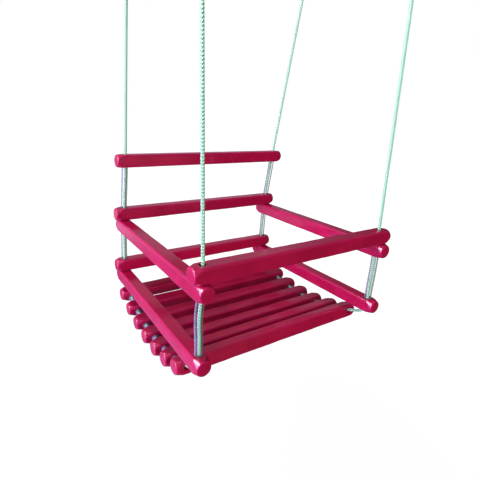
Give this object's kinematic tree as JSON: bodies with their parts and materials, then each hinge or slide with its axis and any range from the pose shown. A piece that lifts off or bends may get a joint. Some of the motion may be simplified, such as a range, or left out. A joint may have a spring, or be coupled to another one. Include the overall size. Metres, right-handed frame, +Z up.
{
  "type": "child swing seat",
  "caption": "Child's swing seat of round-nosed wooden bars and slats strung on two ropes with clear tube spacers, with armrests, a barred back and a front safety bar that lifts.",
  "frame": {"origin": "middle of the four hanging eyes, at the height where the hooks bear inside their tops; the seat hangs below it", "axes": "+Z up, +Y to the seat's back, +X to the right of someone who looks at the seat's front"},
  "size_m": [0.3881, 0.3105, 0.677],
  "materials": {
    "painted_wood": "glossy magenta enamel brushed over planed wood",
    "clear_tube": "clear flexible tube with a faint violet tint",
    "braided_rope": "mint green braided synthetic rope with darker flecks"
  },
  "bodies": {
    "hanging_seat": {"middle_back_bar": "painted_wood", "lower_back_bar": "painted_wood", "seat_slat_1": "painted_wood", "seat_slat_2": "painted_wood", "seat_slat_3": "painted_wood", "seat_slat_4": "painted_wood", "seat_slat_5": "painted_wood", "seat_slat_6": "painted_wood", "seat_slat_7": "painted_wood", "left_armrest": "painted_wood", "left_seat_rail": "painted_wood", "right_armrest": "painted_wood", "right_seat_rail": "painted_wood", "left_front_sleeve": "clear_tube", "left_lower_back_sleeve": "clear_tube", "left_upper_back_sleeve": "clear_tube", "right_front_sleeve": "clear_tube", "right_lower_back_sleeve": "clear_tube", "right_upper_back_sleeve": "clear_tube", "left_spacer_1": "clear_tube", "left_spacer_2": "clear_tube", "left_spacer_3": "clear_tube", "left_spacer_4": "clear_tube", "left_spacer_5": "clear_tube", "left_spacer_6": "clear_tube", "right_spacer_1": "clear_tube", "right_spacer_2": "clear_tube", "right_spacer_3": "clear_tube", "right_spacer_4": "clear_tube", "right_spacer_5": "clear_tube", "right_spacer_6": "clear_tube", "left_sling_rope": "braided_rope", "right_sling_rope": "braided_rope", "left_front_rope": "braided_rope", "left_rear_rope": "braided_rope", "right_front_rope": "braided_rope", "right_rear_rope": "braided_rope", "left_front_eye": "braided_rope", "left_rear_eye": "braided_rope", "right_front_eye": "braided_rope", "right_rear_eye": "braided_rope"},
    "lifting_safety_bar": {"front_safety_bar": "painted_wood"},
    "lifting_back_bar": {"top_back_bar": "painted_wood"}
  },
  "joints": [
    {"name": "safety_bar_lift", "type": "slide", "parent": "hanging_seat", "child": "lifting_safety_bar", "axis": [0, 0.0529, 0.9986], "range_m": [0, 0.11]},
    {"name": "back_bar_lift", "type": "slide", "parent": "hanging_seat", "child": "lifting_back_bar", "axis": [0, -0.1211, 0.9926], "range_m": [0, 0.065]}
  ]
}
